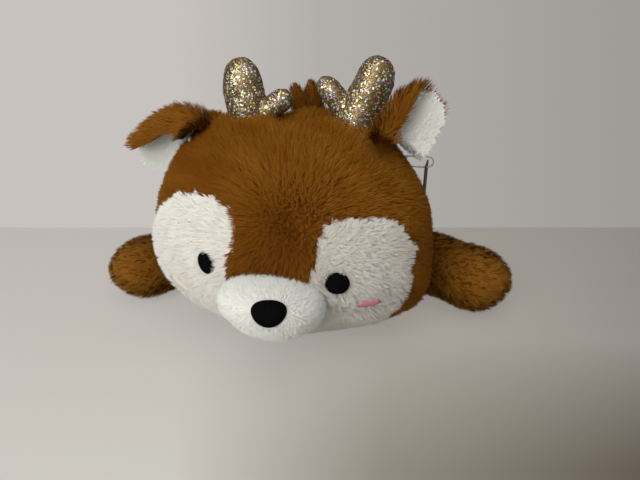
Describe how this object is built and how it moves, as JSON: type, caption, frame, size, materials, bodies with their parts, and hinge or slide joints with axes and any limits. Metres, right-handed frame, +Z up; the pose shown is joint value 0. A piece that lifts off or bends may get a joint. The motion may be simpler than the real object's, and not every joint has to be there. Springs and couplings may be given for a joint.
{
  "type": "plush deer",
  "caption": "Stuffed toy deer lying on its belly, with splayed legs, flopping ears, glitter antlers and a hang tag.",
  "frame": {"origin": "centre of the bounding box in X and Y, on the surface that the toy lies on", "axes": "+Z up, the deer faces -Y and its own left side is at +X"},
  "size_m": [0.3786, 0.3538, 0.2269],
  "materials": {
    "brown_plush": "long pile plush",
    "white_plush": "long pile plush",
    "black_velvet": "short velvet",
    "pink_velvet": "short velvet",
    "gold_glitter_fabric": "holographic glitter",
    "white_stuffing": "loose polyester fibre",
    "dark_card": "coated card",
    "clear_plastic": "clear moulded"
  },
  "bodies": {
    "toy": {"antler_back_panel_left": "gold_glitter_fabric", "antler_back_panel_right": "gold_glitter_fabric", "antler_front_panel_left": "gold_glitter_fabric", "antler_front_panel_right": "gold_glitter_fabric", "antler_stuffing_left": "white_stuffing", "antler_stuffing_right": "white_stuffing", "back_panel_left": "brown_plush", "back_panel_right": "brown_plush", "belly_panel": "brown_plush", "blush_left": "pink_velvet", "blush_right": "pink_velvet", "body_stuffing": "white_stuffing", "cheek_panel_left": "white_plush", "cheek_panel_right": "white_plush", "eye_left": "black_velvet", "eye_right": "black_velvet", "head_back_panel": "brown_plush", "head_chin_panel": "brown_plush", "head_crown_panel": "brown_plush", "head_stuffing": "white_stuffing", "muzzle_panel": "white_plush", "muzzle_stuffing": "white_stuffing", "nose_pad": "black_velvet", "tag_loop": "clear_plastic"},
    "front_leg_left": {"front_leg_left_skin": "brown_plush", "front_leg_left_stuffing": "white_stuffing"},
    "hind_leg_left": {"hind_leg_left_skin": "brown_plush", "hind_leg_left_stuffing": "white_stuffing"},
    "ear_left": {"ear_outer_panel_left": "brown_plush", "ear_inner_panel_left": "white_plush"},
    "front_leg_right": {"front_leg_right_skin": "brown_plush", "front_leg_right_stuffing": "white_stuffing"},
    "hind_leg_right": {"hind_leg_right_skin": "brown_plush", "hind_leg_right_stuffing": "white_stuffing"},
    "ear_right": {"ear_outer_panel_right": "brown_plush", "ear_inner_panel_right": "white_plush"},
    "tail": {"tail_skin": "brown_plush", "tail_stuffing": "white_stuffing"},
    "hang_tag": {"tag_card": "dark_card"}
  },
  "joints": [
    {"name": "front_leg_left_swing", "type": "hinge", "parent": "toy", "child": "front_leg_left", "pos_m": [0.084, 0.03297, 0.0335], "axis": [0, 0, 1], "range_deg": [-6, 30], "stiffness_Nm_per_rad": 0.5},
    {"name": "front_leg_right_swing", "type": "hinge", "parent": "toy", "child": "front_leg_right", "pos_m": [-0.084, 0.03297, 0.0335], "axis": [0, 0, 1], "range_deg": [-30, 6], "stiffness_Nm_per_rad": 0.5},
    {"name": "hind_leg_left_swing", "type": "hinge", "parent": "toy", "child": "hind_leg_left", "pos_m": [0.068, 0.10697, 0.0295], "axis": [0, 0, 1], "range_deg": [-25, 15], "stiffness_Nm_per_rad": 0.4},
    {"name": "hind_leg_right_swing", "type": "hinge", "parent": "toy", "child": "hind_leg_right", "pos_m": [-0.068, 0.10697, 0.0295], "axis": [0, 0, 1], "range_deg": [-15, 25], "stiffness_Nm_per_rad": 0.4},
    {"name": "ear_left_tip", "type": "hinge", "parent": "toy", "child": "ear_left", "pos_m": [0.06, -0.06484, 0.17157], "axis": [0.061, 0.9981, 0], "range_deg": [-18, 12], "stiffness_Nm_per_rad": 0.2},
    {"name": "ear_right_tip", "type": "hinge", "parent": "toy", "child": "ear_right", "pos_m": [-0.07644, -0.03878, 0.17562], "axis": [-0.061, -0.9981, 0], "range_deg": [-45, 3], "stiffness_Nm_per_rad": 0.2},
    {"name": "tail_wag", "type": "hinge", "parent": "toy", "child": "tail", "pos_m": [0, 0.10297, 0.12802], "axis": [-0.0384, 0.9903, 0.1338], "range_deg": [-10, 42], "stiffness_Nm_per_rad": 0.15},
    {"name": "tag_swing", "type": "hinge", "parent": "toy", "child": "hang_tag", "pos_m": [0.11106, 0.01403, 0.12635], "axis": [0.98, -0.1989, 0.0008], "range_deg": [-20, 20]}
  ]
}
